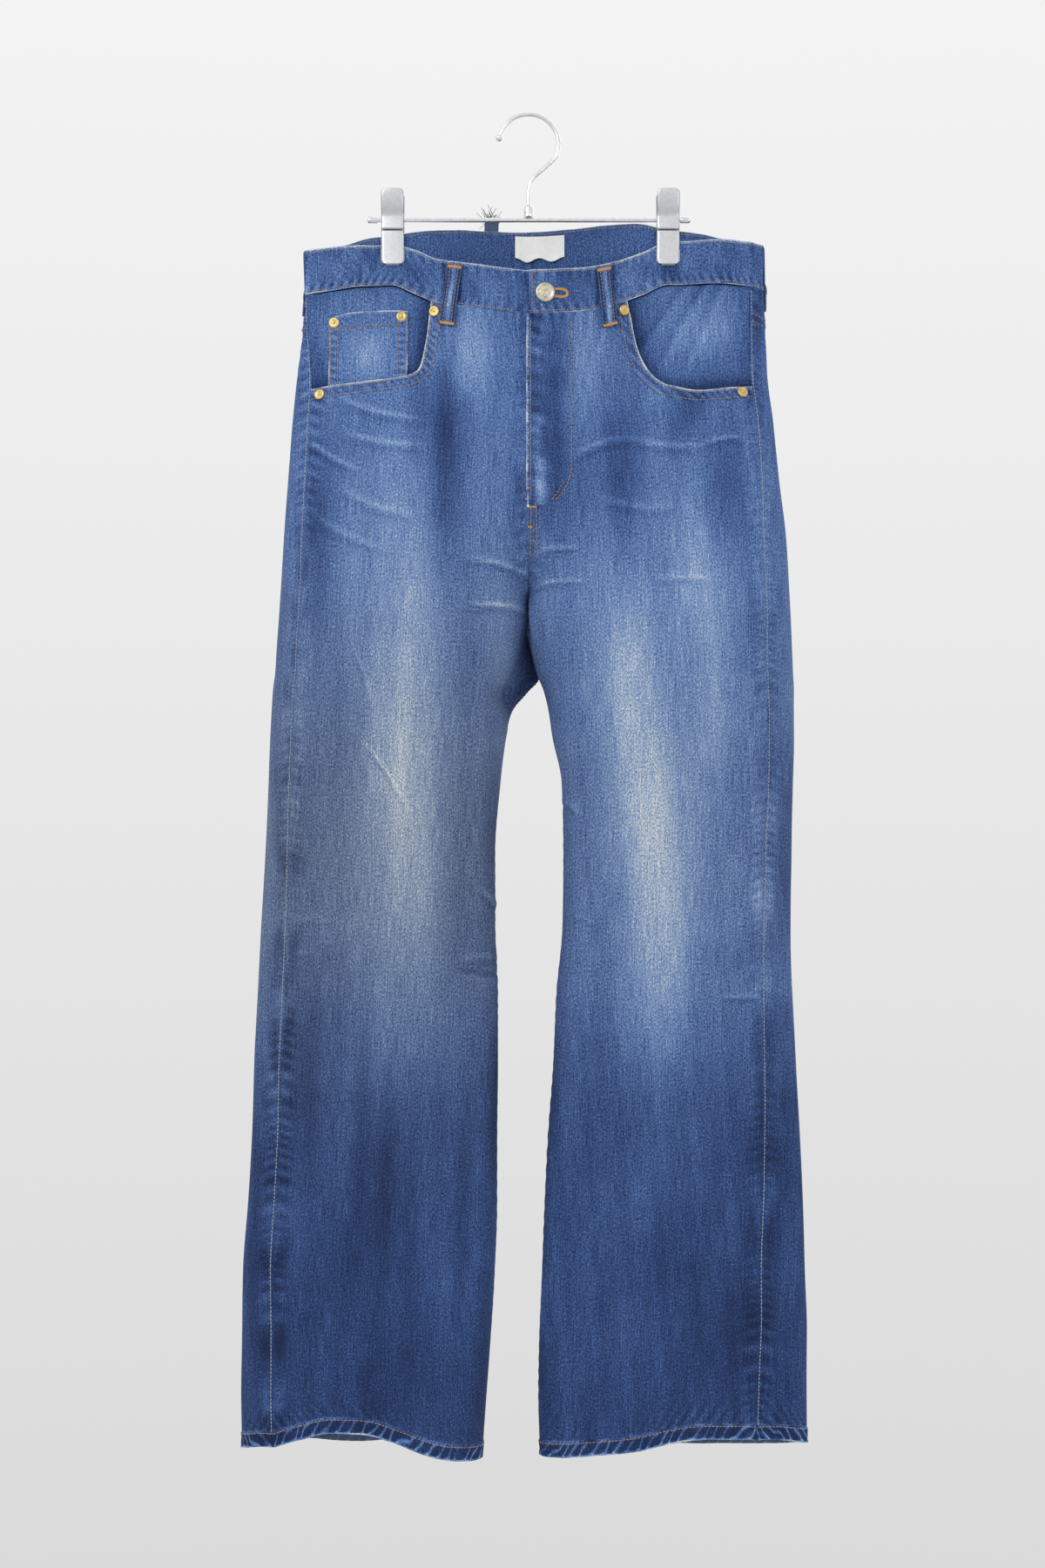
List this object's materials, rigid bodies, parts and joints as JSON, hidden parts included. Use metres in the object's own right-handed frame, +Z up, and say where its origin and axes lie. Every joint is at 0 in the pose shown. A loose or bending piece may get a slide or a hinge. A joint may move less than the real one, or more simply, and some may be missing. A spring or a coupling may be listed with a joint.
{
  "type": "flared jeans on a clip hanger",
  "caption": "Flared five-pocket denim jeans hanging by the waistband from a thin bar hanger with pinch clips and a hook.",
  "frame": {"origin": "inside top of the hanger's hook, where a rail or peg holds it", "axes": "+Z up, the garment's front faces -Y, +X to the viewer's right seen from the front, which is the wearer's left"},
  "size_m": [0.5003, 0.1274, 1.1868],
  "materials": {
    "denim": "faded mid-blue denim twill, worn pale along seams and thighs",
    "pocket_denim": "paler faded denim",
    "label_cloth": "bare white woven label",
    "copper": "worn copper rivet",
    "button_metal": "worn nickel and brass button",
    "chrome": "polished wire",
    "clip_metal": "satin nickel plate"
  },
  "bodies": {
    "root": {"front_right": "denim", "front_left": "denim", "back_right": "denim", "back_left": "denim", "yoke_right": "denim", "yoke_left": "denim", "waistband": "denim", "fly": "denim", "back_pocket_right": "denim", "back_pocket_left": "denim", "loop_front_right": "denim", "loop_front_left": "denim", "loop_side_right": "denim", "loop_side_left": "denim", "loop_back_right": "denim", "loop_back_left": "denim", "pocket_facing_right": "pocket_denim", "pocket_facing_left": "pocket_denim", "coin_pocket": "pocket_denim", "rivet_mouth_right_top": "copper", "rivet_mouth_right_low": "copper", "rivet_coin_outer": "copper", "rivet_coin_inner": "copper", "rivet_mouth_left_top": "copper", "rivet_mouth_left_low": "copper", "waist_button": "button_metal", "label": "label_cloth", "hanger_bar": "chrome", "hanger_hook": "chrome", "hanger_ferrule": "chrome", "clip_right_front": "clip_metal", "clip_right_back": "clip_metal", "clip_left_front": "clip_metal", "clip_left_back": "clip_metal"}
  },
  "joints": []
}
